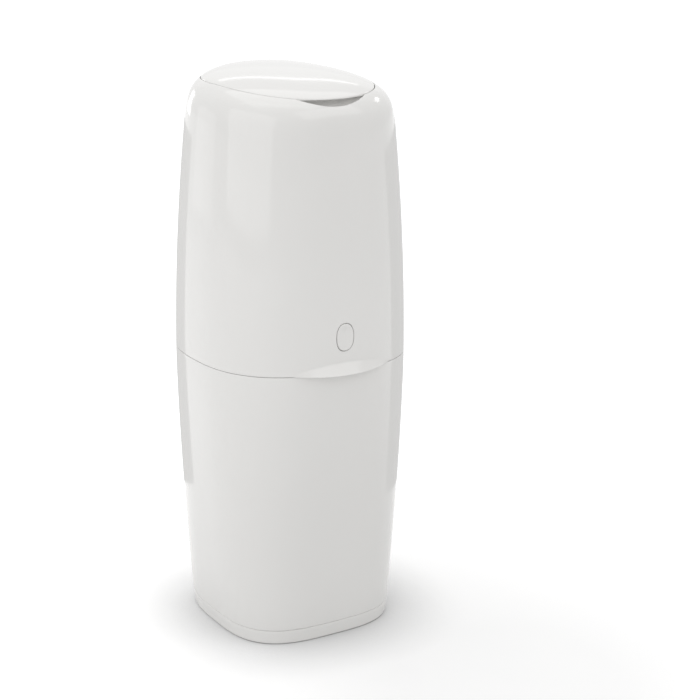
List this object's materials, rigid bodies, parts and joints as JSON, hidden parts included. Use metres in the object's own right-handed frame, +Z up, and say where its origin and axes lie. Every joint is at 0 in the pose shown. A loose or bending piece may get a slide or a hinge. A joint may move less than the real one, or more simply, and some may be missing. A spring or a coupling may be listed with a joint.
{
  "type": "nappy bin",
  "caption": "Tall white barrel-shaped nappy bin in two halves hinged at the back, with a domed flip-up lid, finger scoop, release button and film cassette above sprung jaws.",
  "frame": {"origin": "on the floor, below the middle of the bin's overall width and depth", "axes": "+X to the bin's left as one faces its front, +Y towards the rear hinge, -Y towards the release button, +Z up"},
  "size_m": [0.229, 0.2458, 0.6],
  "materials": {
    "body_white": "gloss",
    "inner_white": "satin",
    "pad_rubber": "matt",
    "seal_rubber": "matt",
    "steel": "zinc plated",
    "spring_steel": "bright wire",
    "blade_steel": "polished",
    "cassette_grey": "semi-gloss",
    "cassette_blue": "gloss",
    "film": "soft film"
  },
  "bodies": {
    "base": {"lower_shell": "body_white", "base_foot": "inner_white", "rubber_pads": "pad_rubber", "base_screws": "steel", "rear_hinge_pin": "steel"},
    "upper": {"upper_shell": "body_white", "cassette_tray": "inner_white", "tray_screws": "steel", "clamp_frame": "inner_white", "clamp_screws": "steel", "cassette_cup": "cassette_grey", "cassette_rim": "cassette_blue", "film_pack": "film", "lid_hinge_pin": "steel", "latch_bracket": "inner_white", "latch_screws": "steel", "latch_pin": "steel", "latch_spring": "spring_steel", "cutter_housing": "inner_white", "cutter_blade": "blade_steel", "cutter_screws": "steel", "front_jaw_springs": "spring_steel", "rear_jaw_springs": "spring_steel"},
    "lid": {"lid_cover": "body_white", "lid_liner": "inner_white", "lid_seal": "seal_rubber", "lid_screws": "steel"},
    "button": {"release_button": "body_white"},
    "latch": {"latch_lever": "inner_white"},
    "front_clamp": {"front_jaw": "inner_white", "front_jaw_lip": "seal_rubber"},
    "rear_clamp": {"rear_jaw": "inner_white", "rear_jaw_lip": "seal_rubber"}
  },
  "joints": [
    {"name": "body_hinge", "type": "hinge", "parent": "base", "child": "upper", "pos_m": [0, 0.1189, 0.302], "axis": [-1, 0, 0], "range_deg": [0, 85]},
    {"name": "lid_hinge", "type": "hinge", "parent": "upper", "child": "lid", "pos_m": [0, 0.0956, 0.58535], "axis": [-1, 0, 0], "range_deg": [0, 95]},
    {"name": "button_press", "type": "slide", "parent": "upper", "child": "button", "axis": [0, 1, 0], "range_m": [0, 0.004], "stiffness_N_per_m": 600, "springref_m": -0.002},
    {"name": "latch_swing", "type": "hinge", "parent": "upper", "child": "latch", "pos_m": [0, -0.09826, 0.372], "axis": [1, 0, 0], "range_deg": [0, 7.2], "deforming": ["latch_spring"]},
    {"name": "front_jaw_slide", "type": "slide", "parent": "upper", "child": "front_clamp", "axis": [0, -1, 0], "range_m": [0, 0.027], "stiffness_N_per_m": 80, "springref_m": -0.01, "deforming": ["front_jaw_springs"]},
    {"name": "rear_jaw_slide", "type": "slide", "parent": "upper", "child": "rear_clamp", "axis": [0, 1, 0], "range_m": [0, 0.027], "stiffness_N_per_m": 80, "springref_m": -0.01, "deforming": ["rear_jaw_springs"]}
  ],
  "couplings": [
    {"joint": "latch_swing", "follows": "button_press", "rad_per_m": 31.25}
  ]
}
